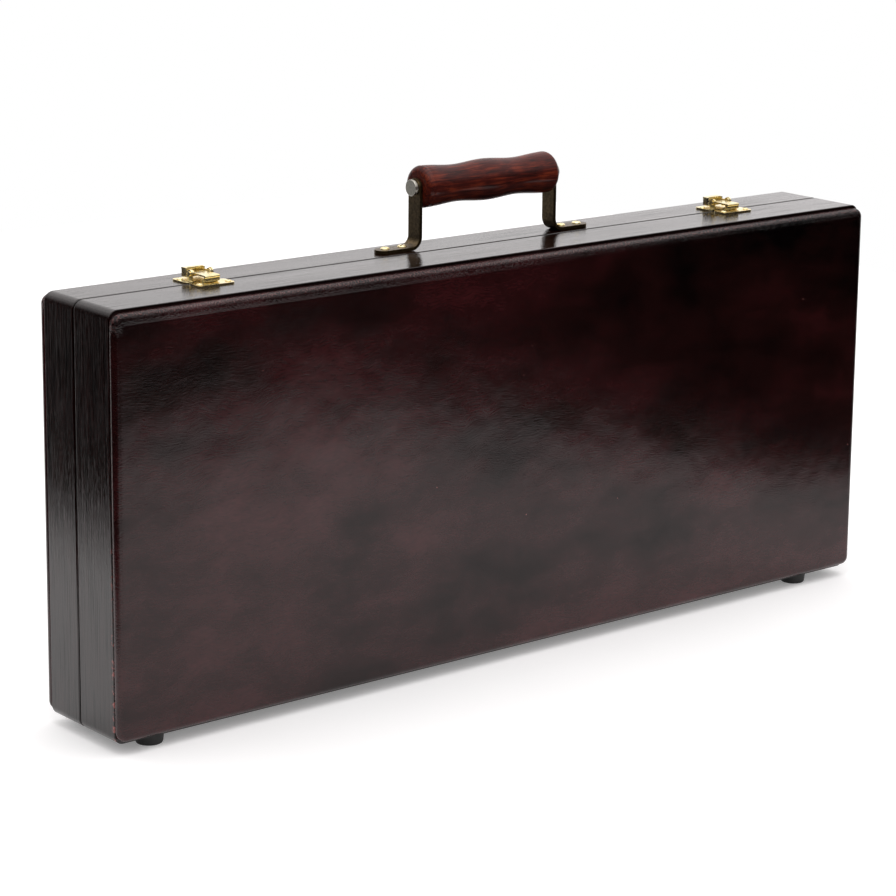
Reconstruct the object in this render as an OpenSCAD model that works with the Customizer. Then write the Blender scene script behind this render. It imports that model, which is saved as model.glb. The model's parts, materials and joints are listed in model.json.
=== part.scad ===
// Leather-faced wooden case for poker chips, standing on its feet.
// +Z up, X along the length, lid towards -Y. Origin on the floor under the middle.

/* [Case] */
// Length of the case along X
case_w = 500; // [480:1:520]
// Height of the case without its feet
case_h = 212; // [210:1:216]
// Depth over both leather faces
case_d = 66; // [64:1:70]
// Place of the seam behind the middle of the depth
seam_y = 2.3; // [0:0.1:4]
// Gap between the two halves
seam_gap = 0.8; // [0.6:0.1:1.2]
// Thickness of the wooden rails
wall = 8; // [7:0.5:9]
// Radius of the case's outer corners
corner_r = 5; // [4:0.5:8]
// Thickness of the plywood boards
board_t = 4; // [3:0.5:5]
// Thickness of the leather
leather_t = 1; // [0.8:0.1:1.5]
// Step from the rails in to the leather boards
cover_step = 0.2; // [0.1:0.1:1]

/* [Chip racks] */
// Rows of chips, one above another
rows = 5; // [4:1:5]
// Distance between rows
row_pitch = 39; // [38.8:0.1:39.1]
// Radius of a chip channel
channel_r = 19.4; // [19:0.1:19.4]
// Length of a row of fifty chips
channel_l = 168; // [160:1:170]
// Depth of the racks from the lining
rack_t = 21; // [19:0.5:22]
// Depth of a channel below the rack's face
channel_depth = 16.9; // [15:0.1:17]
// Thickness of the felt lining
felt_t = 1; // [0.6:0.1:1.2]
// Thickness of the pads in the lid
pad_t = 11; // [8:0.5:11]

/* [Handle] */
// Middle of the handle along X
handle_x = 8; // [-20:1:20]
// Middle of the handle along Y
handle_y = 12; // [11:0.5:16]
// Distance between the straps' outer faces
strap_span = 92.8; // [88:0.1:98]
// Width of a strap
strap_w = 9.6; // [8:0.1:12]
// Thickness of a strap
strap_t = 1.8; // [1.5:0.1:2.5]
// Inside radius of a strap's bend
strap_bend_r = 5; // [5:0.5:7]
// Reach of a strap's foot from its upright face
strap_reach = 24.4; // [22:0.1:30]
// Height of the grip's axis over the case
grip_rise = 31.8; // [28:0.1:36]
// Diameter of the grip at its ends
grip_end_d = 22; // [18:0.2:24]
// Diameter of the grip at its two waists
grip_waist_d = 19.4; // [16:0.2:21]
// Diameter of the bolt through the grip
bolt_d = 5; // [4:0.5:6]

/* [Latches] */
// Distance of each latch from the middle
latch_x = 175; // [150:1:190]
// Width of the latch plates
latch_w = 21; // [20:0.5:24]
// Thickness of the latch sheet metal
sheet_t = 0.8; // [0.8:0.1:1]

/* [Hinges] */
// Distance of each hinge from the middle
hinge_x = 165; // [120:1:190]
// Length of a hinge
hinge_l = 50; // [40:5:60]
// Diameter of the hinge knuckles
knuckle_d = 4.2; // [4:0.1:4.4]
// Diameter of the hinge pins
hinge_pin_d = 2; // [1.8:0.1:2.2]

/* [Feet] */
// Height of the feet
foot_h = 5; // [5:0.5:6]
// Diameter of the feet
foot_d = 15; // [12:0.5:18]
// Place of the left feet along X
foot_left_x = -226; // [-230:1:-200]
// Place of the right feet along X
foot_right_x = 215; // [200:1:230]
// Distance of the feet from the middle of the depth
foot_y = 21.5; // [18:0.5:22]

/* [Hidden] */
$fn = 64;

fit = 0.05;                              // radial clearance of a pin in its bore
screw_fit = 0.05;                        // radial clearance of a screw in its hole
top_z = foot_h + case_h;                 // top face of the case
bottom_z = foot_h;                       // bottom face of the case
face_y = case_d / 2;                     // outer leather face
rail_end_y = face_y - board_t - leather_t; // rails end here, under the boards
base_seam_y = seam_y + seam_gap / 2;     // seam face of the base
lid_seam_y = seam_y - seam_gap / 2;      // seam face of the lid
inner_w = case_w - 2 * wall;
inner_h = case_h - 2 * wall;
mid_z = foot_h + case_h / 2;

// ---- chip racks
rack_back_y = rail_end_y - felt_t;
rack_face_y = rack_back_y - rack_t;
rack_h = rows * row_pitch;
rack_end_wall = 3;
rack_w = channel_l + 2 * rack_end_wall;
rack_slack = 0.5;                        // gap between the racks and the rails
rack_x = inner_w / 2 - rack_slack - rack_w / 2;
tray_w = 2 * (rack_x - rack_w / 2) - 2 * rack_slack;

// ---- card tray pockets
tray_floor = 3;
tray_wall = 4;
deck_w = 64.4;
deck_h = 91;
deck_wall = (tray_w - 2 * deck_w) / 3;   // walls beside and between the decks
dice_w = 86;
dice_h = 18;
button_d = 54;

// ---- handle
grip_z = top_z + grip_rise;
grip_gap = 0.3;                          // gap between the grip and each strap
strap_outer = strap_span / 2;
grip_l = strap_span - 2 * strap_t - 2 * grip_gap;
grip_mid_d = grip_end_d - 0.2;
grip_edge_r = 3.5;
strap_foot_end = strap_outer + strap_reach;
strap_screw_near = strap_outer + strap_bend_r + 2.6;
strap_screw_far = strap_foot_end - 5.7;
bolt_head_d = 8.6;
bolt_head_t = 2.4;

// ---- latch, measured from the seam on the top face
pivot_y = 3.8;
pivot_z = 4.2;
claw_pin_y = 7.0;
claw_pin_z = 3.2;
pin_d = 1.5;
ear_in = 5.6;                            // inner face of the base plate's ears
cheek_in = 4.6;                          // inner face of the lever's cheeks
claw_half = 4.3;                         // half the width of the claw
hook_y = -6.0;
lip_y = -4.6;
lip_r = 0.9;
ear_r = 2;
lever_eye_r = 1.7;
claw_eye_r = 1.25;
rivet_head_r = 1.2;
rivet_head_t = 0.5;
plate_back = 13.6;
plate_front = -11.2;
plate_in = 0.9;                          // plates stop this far from the seam
latch_screw_u = 8.3;
latch_screw_y = 9.6;
strike_screw_y = -7.6;

// ---- hinge
hinge_z = bottom_z - 1.2;
leaf_t = 0.9;
leaf_top_z = bottom_z + 7;
leaf_clear = 0.1;                        // half the gap between closed leaves
knuckles = 5;
knuckle_gap = 0.3;
hinge_screw_z = bottom_z + 4.2;
hinge_screw_u = [-18, -6, 6, 18];

// ---- screws: [shank diameter, head diameter, head height, shank length]
handle_screw = [3, 4.9, 1.0, 9];
latch_screw = [1.8, 3.2, 0.6, 6];
hinge_screw = [1.8, 3.4, 0.9, 7];
foot_screw = [2.8, 5.6, 1.6, 9];
foot_recess = 2.2;

function side(s) = s == "left" ? -1 : 1;
function foot_x(s) = s == "left" ? foot_left_x : foot_right_x;

// ---- shared shapes

// Flat shape drawn in X and Z, made solid from y0 to y1
module upright(y0, y1) {
    translate([0, y1, 0]) rotate([90, 0, 0]) linear_extrude(y1 - y0) children();
}

// Case outline in X and Z with round corners
module outline(inset) {
    w = case_w - 2 * inset;
    h = case_h - 2 * inset;
    r = corner_r;
    translate([0, mid_z]) {
        square([w - 2 * r, h], center = true);
        square([w, h - 2 * r], center = true);
        for (x = [-1, 1], z = [-1, 1])
            translate([x * (w / 2 - r), z * (h / 2 - r)]) circle(r);
    }
}

// Four-sided area of one rail between its two mitres
module mitred(place) {
    w = case_w / 2;
    h = case_h / 2;
    i = wall;
    translate([0, mid_z]) {
        if (place == "top") polygon([[-w, h], [w, h], [w - i, h - i], [-w + i, h - i]]);
        if (place == "bottom") polygon([[-w, -h], [-w + i, -h + i], [w - i, -h + i], [w, -h]]);
        if (place == "left") polygon([[-w, -h], [-w, h], [-w + i, h - i], [-w + i, -h + i]]);
        if (place == "right") polygon([[w, -h], [w - i, -h + i], [w - i, h - i], [w, h]]);
    }
}

module rail(place, y0, y1) {
    upright(y0, y1) intersection() {
        outline(0);
        mitred(place);
    }
}

// Screw pointing down with its head standing on z = 0
module screw(s) {
    difference() {
        union() {
            translate([0, 0, -s[3]]) cylinder(d = s[0], h = s[3]);
            cylinder(d1 = s[1], d2 = s[1] * 0.8, h = s[2]);
        }
        translate([-s[1], -s[1] * 0.07, s[2] * 0.5]) cube([2 * s[1], s[1] * 0.14, s[2]]);
    }
}

module screw_hole(s) {
    translate([0, 0, -s[3] - 0.2]) cylinder(r = s[0] / 2 + screw_fit, h = s[3] + 2);
}

// Places where screws of each kind enter, heads outwards
module at_handle_screws(lift) {
    for (s = [-1, 1], x = [strap_screw_near, strap_screw_far])
        translate([handle_x + s * x, handle_y, top_z + lift]) children();
}

module at_latch_screws(y) {
    for (s = [-1, 1], u = [-latch_screw_u, latch_screw_u])
        translate([s * latch_x + u, seam_y + y, top_z + sheet_t]) children();
}

// lift is the distance from the seam plane; dir is 1 for the base and -1 for the lid
module at_hinge_screws(dir) {
    for (s = [-1, 1], u = hinge_screw_u)
        translate([s * hinge_x + u, seam_y + dir * (leaf_clear + hinge_screw[2]), hinge_screw_z])
            rotate([dir * 90, 0, 0]) children();
}

module at_foot_screws(dir) {
    for (s = ["left", "right"])
        translate([foot_x(s), dir * foot_y, foot_recess]) rotate([180, 0, 0]) children();
}

// ---- base, the back half

module base_rail_top() {
    color("#2a1414") difference() {
        rail("top", base_seam_y, rail_end_y);
        at_handle_screws(strap_t) screw_hole(handle_screw);
        at_latch_screws(latch_screw_y) screw_hole(latch_screw);
    }
}

// Room in a bottom rail for the hinges: leaf mortises and a trough for the knuckles
module hinge_room(dir) {
    for (s = [-1, 1]) translate([s * hinge_x, seam_y, 0]) {
        translate([0, 0, hinge_z]) rotate([0, 90, 0])
            cylinder(d = knuckle_d + 1, h = hinge_l + 1, center = true);
        translate([-hinge_l / 2 - 0.1, dir > 0 ? 0 : -leaf_clear - leaf_t, hinge_z])
            cube([hinge_l + 0.2, leaf_clear + leaf_t, leaf_top_z - hinge_z + 0.1]);
    }
}

module base_rail_bottom() {
    color("#2a1414") difference() {
        rail("bottom", base_seam_y, rail_end_y);
        hinge_room(1);
        at_hinge_screws(1) screw_hole(hinge_screw);
        at_foot_screws(1) screw_hole(foot_screw);
    }
}

module base_rail_left() {
    color("#2a1414") rail("left", base_seam_y, rail_end_y);
}

module base_rail_right() {
    color("#2a1414") rail("right", base_seam_y, rail_end_y);
}

module base_board() {
    color("#5a3a26") upright(rail_end_y, face_y - leather_t) outline(cover_step);
}

module base_leather() {
    color("#341416") upright(face_y - leather_t, face_y) outline(cover_step);
}

module base_lining() {
    color("#1d3a2a") translate([0, rail_end_y - felt_t / 2, mid_z])
        cube([inner_w - 0.4, felt_t, inner_h - 0.4], center = true);
}

// Velvet-covered rack with half-round channels along X
module chip_rack(s) {
    axis_y = rack_face_y + channel_depth - channel_r;
    color("#1d3a2a") translate([s * rack_x, 0, mid_z]) difference() {
        translate([-rack_w / 2, rack_face_y, -rack_h / 2]) cube([rack_w, rack_t, rack_h]);
        for (i = [0 : rows - 1])
            translate([0, axis_y, (i - (rows - 1) / 2) * row_pitch]) rotate([0, 90, 0])
                cylinder(r = channel_r, h = channel_l, center = true);
    }
}

module chip_rack_left() { chip_rack(-1); }
module chip_rack_right() { chip_rack(1); }

// Pocket open towards the lid, with its middle at x, z
module pocket(x, z, w, h) {
    translate([x - w / 2, rack_face_y - 1, mid_z + z - h / 2])
        cube([w, rack_t + 1 - tray_floor, h]);
}

// Middle tray: two decks of cards, a row of dice and the dealer's button
module card_tray() {
    deck_z = rack_h / 2 - tray_wall - deck_h / 2;
    dice_z = deck_z - deck_h / 2 - tray_wall - dice_h / 2;
    button_z = dice_z - dice_h / 2 - tray_wall - button_d / 2;
    color("#1d3a2a") difference() {
        translate([-tray_w / 2, rack_face_y, mid_z - rack_h / 2]) cube([tray_w, rack_t, rack_h]);
        for (s = [-1, 1]) pocket(s * (deck_w + deck_wall) / 2, deck_z, deck_w, deck_h);
        pocket(0, dice_z, dice_w, dice_h);
        translate([0, rack_face_y - 1, mid_z + button_z]) rotate([-90, 0, 0])
            cylinder(d = button_d, h = rack_t + 1 - tray_floor);
    }
}

// ---- lid, the front half

module lid_rail_top() {
    color("#2a1414") difference() {
        rail("top", -rail_end_y, lid_seam_y);
        at_latch_screws(strike_screw_y) screw_hole(latch_screw);
    }
}

module lid_rail_bottom() {
    color("#2a1414") difference() {
        rail("bottom", -rail_end_y, lid_seam_y);
        hinge_room(-1);
        at_hinge_screws(-1) screw_hole(hinge_screw);
        at_foot_screws(-1) screw_hole(foot_screw);
    }
}

module lid_rail_left() {
    color("#2a1414") rail("left", -rail_end_y, lid_seam_y);
}

module lid_rail_right() {
    color("#2a1414") rail("right", -rail_end_y, lid_seam_y);
}

module lid_board() {
    color("#5a3a26") upright(-face_y + leather_t, -rail_end_y) outline(cover_step);
}

module lid_leather() {
    color("#341416") upright(-face_y, -face_y + leather_t) outline(cover_step);
}

module lid_lining() {
    color("#1d3a2a") translate([0, -rail_end_y + felt_t / 2, mid_z])
        cube([inner_w - 0.4, felt_t, inner_h - 0.4], center = true);
}

// Foam pad that holds the chips down
module lid_pad(s) {
    color("#1d3a2a") translate([s * rack_x, -rail_end_y + felt_t + pad_t / 2, mid_z])
        cube([rack_w - 4, pad_t, rack_h - 4], center = true);
}

module lid_pad_left() { lid_pad(-1); }
module lid_pad_right() { lid_pad(1); }

// ---- hinges

// One leaf: plate let into the rail and its share of the knuckles
module hinge_leaf(s, dir) {
    pitch = hinge_l / knuckles;
    first = dir > 0 ? 0 : 1;
    clear_z = hinge_z + knuckle_d / 2 + 0.3;
    y0 = dir > 0 ? leaf_clear : -leaf_clear - leaf_t;
    color("#c9a24a") translate([s * hinge_x, seam_y, 0]) difference() {
        union() {
            translate([-hinge_l / 2, y0, clear_z]) cube([hinge_l, leaf_t, leaf_top_z - clear_z]);
            for (i = [first : 2 : knuckles - 1])
                translate([-hinge_l / 2 + i * pitch + knuckle_gap / 2, 0, hinge_z]) {
                    rotate([0, 90, 0]) cylinder(d = knuckle_d, h = pitch - knuckle_gap);
                    translate([0, y0, 0]) cube([pitch - knuckle_gap, leaf_t, knuckle_d / 2 + 0.4]);
                }
        }
        translate([0, 0, hinge_z]) rotate([0, 90, 0])
            cylinder(r = hinge_pin_d / 2 + fit, h = hinge_l + 1, center = true);
        translate([-s * hinge_x, -seam_y, 0]) at_hinge_screws(dir) {
            screw_hole(hinge_screw);
            translate([0, 0, -0.01])
                cylinder(d1 = hinge_screw[0] + 0.2, d2 = hinge_screw[1] + 0.2, h = leaf_t + 0.02);
        }
    }
}

module hinge_base_leaf_left() { hinge_leaf(-1, 1); }
module hinge_base_leaf_right() { hinge_leaf(1, 1); }
module hinge_lid_leaf_left() { hinge_leaf(-1, -1); }
module hinge_lid_leaf_right() { hinge_leaf(1, -1); }

module hinge_pin(s) {
    color("#c9a24a") translate([s * hinge_x, seam_y, hinge_z]) rotate([0, 90, 0])
        cylinder(d = hinge_pin_d, h = hinge_l, center = true);
}

module hinge_pin_left() { hinge_pin(-1); }
module hinge_pin_right() { hinge_pin(1); }

// Countersunk screw whose head lies inside the leaf
module flush_screw(s) {
    translate([0, 0, -s[3]]) cylinder(d = s[0], h = s[3]);
    cylinder(d1 = s[0], d2 = s[1], h = s[2] - 0.05);
}

module hinge_base_screws() {
    color("#c9a24a") at_hinge_screws(1) flush_screw(hinge_screw);
}

module hinge_lid_screws() {
    color("#c9a24a") at_hinge_screws(-1) flush_screw(hinge_screw);
}

// ---- handle

// Upright, bend and foot of one strap, drawn for the right side and mirrored for the left
module strap(s) {
    bend_x = strap_outer + strap_bend_r;
    color("#5b4a33") translate([handle_x, handle_y, 0]) mirror([s > 0 ? 0 : 1, 0, 0]) {
        difference() {
            union() {
                translate([strap_outer - strap_t, -strap_w / 2, top_z + strap_t + strap_bend_r])
                    cube([strap_t, strap_w, grip_rise - strap_t - strap_bend_r]);
                translate([strap_outer - strap_t, 0, grip_z]) rotate([0, 90, 0])
                    cylinder(d = strap_w, h = strap_t);
            }
            translate([strap_outer - strap_t - 1, 0, grip_z]) rotate([0, 90, 0])
                cylinder(r = bolt_d / 2 + screw_fit, h = strap_t + 2);
        }
        translate([bend_x, strap_w / 2, top_z + strap_t + strap_bend_r]) rotate([90, 0, 0])
            rotate([0, 0, 180]) rotate_extrude(angle = 90) translate([strap_bend_r, 0])
                square([strap_t, strap_w]);
        difference() {
            translate([0, 0, top_z]) linear_extrude(strap_t) {
                translate([bend_x, -strap_w / 2])
                    square([strap_foot_end - bend_x - strap_w / 2, strap_w]);
                translate([strap_foot_end - strap_w / 2, 0]) circle(d = strap_w);
            }
            for (x = [strap_screw_near, strap_screw_far])
                translate([x, 0, top_z + strap_t]) screw_hole(handle_screw);
        }
    }
}

module handle_strap_left() { strap(-1); }
module handle_strap_right() { strap(1); }

// Turned grip: two waists, a middle swell and rounded ends
module handle_grip() {
    half = grip_l / 2;
    span = half - grip_edge_r;
    steps = 24;
    color("#5c1f19") translate([handle_x, handle_y, grip_z]) rotate([0, 90, 0]) difference() {
        rotate_extrude() polygon(concat(
            [[0, -half], [grip_end_d / 2 - grip_edge_r, -half]],
            [for (a = [15 : 15 : 75])
                [grip_end_d / 2 - grip_edge_r * (1 - sin(a)), -half + grip_edge_r * (1 - cos(a))]],
            [for (i = [-steps : steps]) let (t = i / steps)
                [grip_mid_d / 4 + grip_waist_d / 4 + (grip_mid_d - grip_waist_d) / 4 * cos(360 * t),
                    t * span]],
            [for (a = [75 : -15 : 15])
                [grip_end_d / 2 - grip_edge_r * (1 - sin(a)), half - grip_edge_r * (1 - cos(a))]],
            [[grip_end_d / 2 - grip_edge_r, half], [0, half]]));
        cylinder(r = bolt_d / 2 + fit, h = grip_l + 2, center = true);
    }
}

// Bolt through both straps and the grip, its head on the left
module handle_bolt() {
    color("#b8b8b4") translate([handle_x, handle_y, grip_z]) rotate([0, 90, 0]) {
        cylinder(d = bolt_d, h = strap_span + 2 * bolt_head_t - 1.6, center = true);
        translate([0, 0, -strap_outer - bolt_head_t]) {
            cylinder(d = bolt_head_d - 1, h = bolt_head_t);
            cylinder(d = bolt_head_d, h = bolt_head_t - 0.8);
        }
    }
}

// Capped nut on the right end of the bolt
module handle_nut() {
    thread_l = bolt_head_t - 0.8;
    color("#b8b8b4") translate([handle_x + strap_outer, handle_y, grip_z]) rotate([0, 90, 0])
        difference() {
            union() {
                cylinder(d = bolt_head_d - 1, h = bolt_head_t);
                translate([0, 0, 0.8]) cylinder(d = bolt_head_d, h = bolt_head_t - 0.8);
            }
            translate([0, 0, -1]) cylinder(r = bolt_d / 2 + screw_fit, h = thread_l + 1 + fit);
        }
}

module handle_screws() {
    color("#c9a24a") at_handle_screws(strap_t) screw(handle_screw);
}

// ---- latches

// Local latch frame: origin on the seam, on the top face
module at_latch(s) {
    translate([s * latch_x, seam_y, top_z]) children();
}

// Plate with round corners between two distances from the seam
module latch_plate(y0, y1) {
    r = 2;
    linear_extrude(sheet_t) translate([0, (y0 + y1) / 2]) {
        square([latch_w - 2 * r, y1 - y0], center = true);
        square([latch_w, y1 - y0 - 2 * r], center = true);
        for (x = [-1, 1], y = [-1, 1])
            translate([x * (latch_w / 2 - r), y * ((y1 - y0) / 2 - r)]) circle(r);
    }
}

// Disc of sheet metal across X, from x0 to x1
module across(x0, x1, y, z, r) {
    translate([x0, y, z]) rotate([0, 90, 0]) cylinder(r = r, h = x1 - x0);
}

module latch_base(s) {
    color("#c9a24a") at_latch(s) difference() {
        union() {
            latch_plate(plate_in, plate_back);
            for (m = [0, 1]) mirror([m, 0, 0]) {
                translate([ear_in, pivot_y - ear_r, 0]) cube([sheet_t, 2 * ear_r, pivot_z]);
                across(ear_in, ear_in + sheet_t, pivot_y, pivot_z, ear_r);
            }
        }
        across(-latch_w, latch_w, pivot_y, pivot_z, pin_d / 2 + screw_fit);
        for (u = [-latch_screw_u, latch_screw_u])
            translate([u, latch_screw_y, sheet_t]) screw_hole(latch_screw);
    }
}

module latch_base_left() { latch_base(-1); }
module latch_base_right() { latch_base(1); }

// Two short rivets that carry the lever, so that the claw passes between them
module latch_rivets(s) {
    color("#c9a24a") at_latch(s) for (m = [0, 1]) mirror([m, 0, 0]) {
        across(cheek_in, ear_in + sheet_t + 0.1, pivot_y, pivot_z, pin_d / 2);
        across(ear_in + sheet_t, ear_in + sheet_t + rivet_head_t, pivot_y, pivot_z, rivet_head_r);
    }
}

module latch_rivets_left() { latch_rivets(-1); }
module latch_rivets_right() { latch_rivets(1); }

// Folded lever: two cheeks joined by a thumb plate behind the claw's pin
module latch_lever(s) {
    top = 6.2;
    plate_y = 9.2;
    end_y = 11.4;
    cheek_bottom = 1.6;
    cheek_top = 5.0;
    half = cheek_in + sheet_t;
    color("#c9a24a") at_latch(s) difference() {
        union() {
            for (m = [0, 1]) mirror([m, 0, 0]) {
                across(cheek_in, half, pivot_y, pivot_z, lever_eye_r);
                translate([cheek_in, pivot_y, pivot_z - lever_eye_r])
                    cube([sheet_t, end_y - pivot_y, cheek_top - pivot_z + lever_eye_r]);
                translate([cheek_in, pivot_y + 1.6, cheek_bottom])
                    cube([sheet_t, end_y - pivot_y - 1.6, cheek_top - cheek_bottom]);
                translate([cheek_in, plate_y - 1.4, cheek_top - 0.1])
                    cube([sheet_t, end_y - plate_y + 1.4, top - cheek_top + 0.1]);
            }
            translate([-half, plate_y, top - sheet_t]) cube([2 * half, end_y + 1 - plate_y, sheet_t]);
            translate([-half, end_y, cheek_bottom]) cube([2 * half, sheet_t, top - cheek_bottom]);
        }
        across(-latch_w, latch_w, pivot_y, pivot_z, pin_d / 2 + fit);
        across(-latch_w, latch_w, claw_pin_y, claw_pin_z, pin_d / 2 + screw_fit);
    }
}

module latch_lever_left() { latch_lever(-1); }
module latch_lever_right() { latch_lever(1); }

module latch_claw_pin(s) {
    color("#c9a24a") at_latch(s)
        across(-cheek_in - sheet_t, cheek_in + sheet_t, claw_pin_y, claw_pin_z, pin_d / 2);
}

module latch_claw_pin_left() { latch_claw_pin(-1); }
module latch_claw_pin_right() { latch_claw_pin(1); }

// Claw: rolled eye on its pin, flat tongue across the seam and a hook
module latch_claw(s) {
    tongue_z = claw_pin_z + claw_eye_r - sheet_t;
    hook_bottom = 1.4;
    curl_r = 0.7;
    color("#c9a24a") at_latch(s) difference() {
        union() {
            across(-claw_half, claw_half, claw_pin_y, claw_pin_z, claw_eye_r);
            translate([-claw_half, hook_y, tongue_z])
                cube([2 * claw_half, claw_pin_y - hook_y, sheet_t]);
            translate([-claw_half, hook_y - sheet_t / 2, hook_bottom])
                cube([2 * claw_half, sheet_t, tongue_z + sheet_t / 2 - hook_bottom]);
            across(-claw_half, claw_half, hook_y, tongue_z + sheet_t - curl_r, curl_r);
        }
        across(-latch_w, latch_w, claw_pin_y, claw_pin_z, pin_d / 2 + fit);
    }
}

module latch_claw_left() { latch_claw(-1); }
module latch_claw_right() { latch_claw(1); }

// Strike plate on the lid with the rolled lip that the hook pulls on
module latch_strike(s) {
    color("#c9a24a") at_latch(s) difference() {
        union() {
            latch_plate(plate_front, -plate_in);
            translate([-claw_half, lip_y, 0]) cube([2 * claw_half, 0.8, sheet_t + lip_r]);
            across(-claw_half, claw_half, lip_y + 0.2, sheet_t + lip_r, lip_r);
        }
        for (u = [-latch_screw_u, latch_screw_u])
            translate([u, strike_screw_y, sheet_t]) screw_hole(latch_screw);
    }
}

module latch_strike_left() { latch_strike(-1); }
module latch_strike_right() { latch_strike(1); }

module latch_base_screws() {
    color("#c9a24a") at_latch_screws(latch_screw_y) screw(latch_screw);
}

module latch_strike_screws() {
    color("#c9a24a") at_latch_screws(strike_screw_y) screw(latch_screw);
}

// ---- feet

module feet(dir) {
    color("#141414") for (s = ["left", "right"]) translate([foot_x(s), dir * foot_y, 0])
        difference() {
            cylinder(d1 = foot_d - 1.5, d2 = foot_d, h = foot_h);
            translate([0, 0, -1]) cylinder(d = foot_screw[1] + 1, h = foot_recess + 1);
            cylinder(r = foot_screw[0] / 2 + screw_fit, h = foot_h + 1);
        }
}

module base_feet() { feet(1); }
module lid_feet() { feet(-1); }

module base_foot_screws() {
    color("#8a8a86") at_foot_screws(1) screw(foot_screw);
}

module lid_foot_screws() {
    color("#8a8a86") at_foot_screws(-1) screw(foot_screw);
}

base_rail_top();
base_rail_bottom();
base_rail_left();
base_rail_right();
base_board();
base_leather();
base_lining();
chip_rack_left();
chip_rack_right();
card_tray();
lid_rail_top();
lid_rail_bottom();
lid_rail_left();
lid_rail_right();
lid_board();
lid_leather();
lid_lining();
lid_pad_left();
lid_pad_right();
hinge_base_leaf_left();
hinge_base_leaf_right();
hinge_lid_leaf_left();
hinge_lid_leaf_right();
hinge_pin_left();
hinge_pin_right();
hinge_base_screws();
hinge_lid_screws();
handle_strap_left();
handle_strap_right();
handle_grip();
handle_bolt();
handle_nut();
handle_screws();
latch_base_left();
latch_base_right();
latch_rivets_left();
latch_rivets_right();
latch_lever_left();
latch_lever_right();
latch_claw_pin_left();
latch_claw_pin_right();
latch_claw_left();
latch_claw_right();
latch_strike_left();
latch_strike_right();
latch_base_screws();
latch_strike_screws();
base_feet();
lid_feet();
base_foot_screws();
lid_foot_screws();
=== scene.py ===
import json
import math

import bmesh
import bpy
import numpy as np
from mathutils import Euler, Matrix, Vector, noise

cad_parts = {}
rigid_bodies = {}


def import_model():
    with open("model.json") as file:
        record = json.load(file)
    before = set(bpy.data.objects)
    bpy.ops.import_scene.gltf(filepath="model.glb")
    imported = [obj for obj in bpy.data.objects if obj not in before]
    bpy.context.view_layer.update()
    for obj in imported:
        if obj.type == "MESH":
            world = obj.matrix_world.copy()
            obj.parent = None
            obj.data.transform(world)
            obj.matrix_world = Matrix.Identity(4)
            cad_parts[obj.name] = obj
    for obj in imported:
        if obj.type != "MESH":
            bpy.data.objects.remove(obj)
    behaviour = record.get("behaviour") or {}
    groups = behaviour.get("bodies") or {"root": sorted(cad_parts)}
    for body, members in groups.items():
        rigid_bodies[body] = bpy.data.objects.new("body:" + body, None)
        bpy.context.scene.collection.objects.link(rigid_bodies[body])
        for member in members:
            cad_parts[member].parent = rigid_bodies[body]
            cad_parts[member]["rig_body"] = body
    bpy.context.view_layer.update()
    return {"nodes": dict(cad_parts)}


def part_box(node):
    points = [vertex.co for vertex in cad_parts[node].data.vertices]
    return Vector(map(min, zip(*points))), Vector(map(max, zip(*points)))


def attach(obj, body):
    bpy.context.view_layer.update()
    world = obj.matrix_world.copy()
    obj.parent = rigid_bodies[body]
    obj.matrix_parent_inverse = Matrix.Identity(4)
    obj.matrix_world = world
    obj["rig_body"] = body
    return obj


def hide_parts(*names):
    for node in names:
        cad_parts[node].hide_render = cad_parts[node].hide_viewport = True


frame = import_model()
MM = 0.001


# ---- Wooden rails
# Two mitred frames of solid wood, stained dark burgundy and sprayed with clear
# lacquer. The arrises are eased by hand, so each one carries a small round.

outline_r = 5 * MM
case_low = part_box("lid_rail_left")[0]
case_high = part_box("base_rail_right")[1]
mid_z = (case_low.z + case_high.z) / 2
half_w = case_high.x
half_h = case_high.z - mid_z
front_arris = 0.5 * MM
seam_arris = 0.8 * MM
outer_skin = 2.6 * MM


def linear(hex_colour):
    """An sRGB hex value as the linear colour that a node takes."""
    parts = [int(hex_colour[i:i + 2], 16) / 255 for i in (1, 3, 5)]
    return [p / 12.92 if p <= 0.04045 else ((p + 0.055) / 1.055) ** 2.4 for p in parts] + [1.0]


def add(tree, kind, inputs=None, stops=None, **settings):
    """Adds one node. inputs maps a socket to a value or to the output that feeds it."""
    node = tree.nodes.new(kind)
    for name, value in settings.items():
        setattr(node, name, value)
    for key, value in (inputs or {}).items():
        if isinstance(value, bpy.types.NodeSocket):
            tree.links.new(value, node.inputs[key])
        else:
            node.inputs[key].default_value = value
    if stops:
        ramp = node.color_ramp
        while len(ramp.elements) < len(stops):
            ramp.elements.new(1.0)
        for element, (place, colour) in zip(ramp.elements, stops):
            element.position = place
            element.color = linear(colour) if isinstance(colour, str) else [colour] * 3 + [1]
    return node


def new_material(name):
    """An empty material and its node tree."""
    material = bpy.data.materials.new(name)
    material.use_nodes = True
    material.node_tree.nodes.clear()
    return material, material.node_tree


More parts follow.
